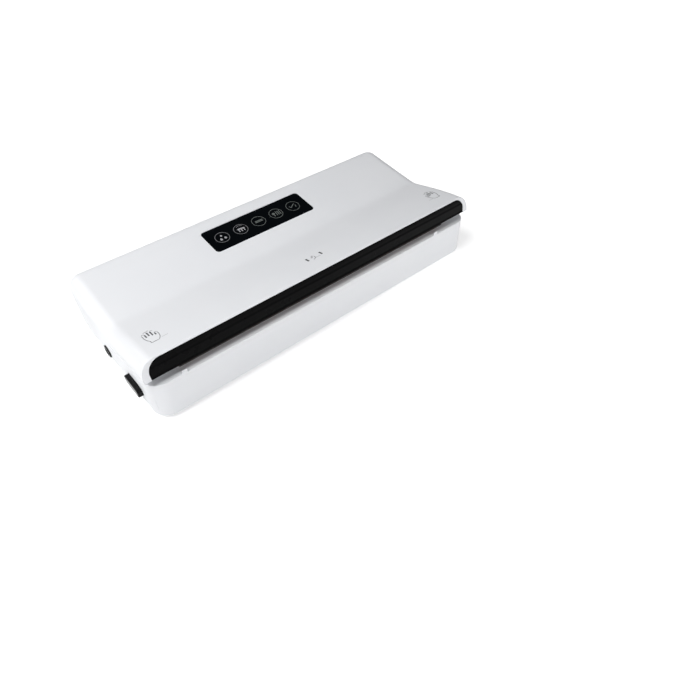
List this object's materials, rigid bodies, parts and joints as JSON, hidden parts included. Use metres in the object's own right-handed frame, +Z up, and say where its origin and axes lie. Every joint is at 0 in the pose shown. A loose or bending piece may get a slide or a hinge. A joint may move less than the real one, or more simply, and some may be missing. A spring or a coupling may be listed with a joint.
{
  "type": "vacuum sealer",
  "caption": "Countertop bag sealer: a low base with a vacuum chamber and heating bar, a hinged lid with a touch panel, and release buttons at its ends.",
  "frame": {"origin": "centre of the footprint, on the surface that the feet stand on", "axes": "+X along the machine towards its right end, +Y from the front to the back, +Z up"},
  "size_m": [0.39, 0.1628, 0.0686],
  "materials": {
    "white_shell": "satin moulded ABS",
    "inner_white": "fine moulded ABS",
    "black_trim": "satin black ABS",
    "panel_gloss": "polished black acrylic",
    "foam": "closed-cell foam",
    "silicone": "matt silicone",
    "sealing_cloth": "woven glass cloth with a slick black coating",
    "steel": "zinc plated",
    "aluminium": "extruded",
    "circuit_board": "solder mask",
    "clear_hose": "clear soft tube",
    "foot_rubber": "matt rubber",
    "black_inner": "matt black",
    "coil_tape": "yellow insulating tape"
  },
  "bodies": {
    "base": {"base_housing": "white_shell", "bottom_cover": "inner_white", "bottom_screw_1": "steel", "bottom_screw_2": "steel", "bottom_screw_3": "steel", "bottom_screw_4": "steel", "bottom_screw_5": "steel", "bottom_screw_6": "steel", "capacitor": "black_inner", "chamber_nozzle": "black_inner", "foot_back_left": "foot_rubber", "foot_back_right": "foot_rubber", "foot_front_left": "foot_rubber", "foot_front_right": "foot_rubber", "heat_sink": "aluminium", "heating_bar": "aluminium", "heating_element": "steel", "hinge_pin_left": "steel", "hinge_pin_right": "steel", "hose_port": "black_trim", "latch_spring_left": "steel", "latch_spring_right": "steel", "lid_switch_left": "black_inner", "lid_switch_right": "black_inner", "lower_gasket": "foam", "mains_inlet": "black_trim", "mains_pin_1": "steel", "mains_pin_2": "steel", "port_hose": "clear_hose", "power_board": "circuit_board", "pump_cradle": "foot_rubber", "pump_head": "black_inner", "pump_motor": "steel", "release_hose": "clear_hose", "sealing_tape": "sealing_cloth", "solenoid_valve": "coil_tape", "suction_hose": "clear_hose", "transformer": "coil_tape"},
    "lid": {"lid_shell": "white_shell", "front_strip": "black_trim", "lid_liner": "inner_white", "upper_gasket": "foam", "press_strip": "silicone", "touch_panel": "panel_gloss", "control_board": "circuit_board", "lid_catch_left": "inner_white", "lid_catch_right": "inner_white", "lid_screw_1": "steel", "lid_screw_2": "steel", "lid_screw_3": "steel", "lid_screw_4": "steel"},
    "latch_left": {"release_button_left": "black_trim", "latch_slider_left": "inner_white"},
    "latch_right": {"release_button_right": "black_trim", "latch_slider_right": "inner_white"}
  },
  "joints": [
    {"name": "lid_hinge", "type": "hinge", "parent": "base", "child": "lid", "pos_m": [0, 0.0741, 0.024], "axis": [-1, 0, 0], "range_deg": [-2.6, 70]},
    {"name": "release_left", "type": "slide", "parent": "base", "child": "latch_left", "axis": [1, 0, 0], "range_m": [0, 0.003], "stiffness_N_per_m": 500, "springref_m": -0.002, "deforming": ["latch_spring_left"]},
    {"name": "release_right", "type": "slide", "parent": "base", "child": "latch_right", "axis": [-1, 0, 0], "range_m": [0, 0.003], "stiffness_N_per_m": 500, "springref_m": -0.002, "deforming": ["latch_spring_right"]}
  ]
}
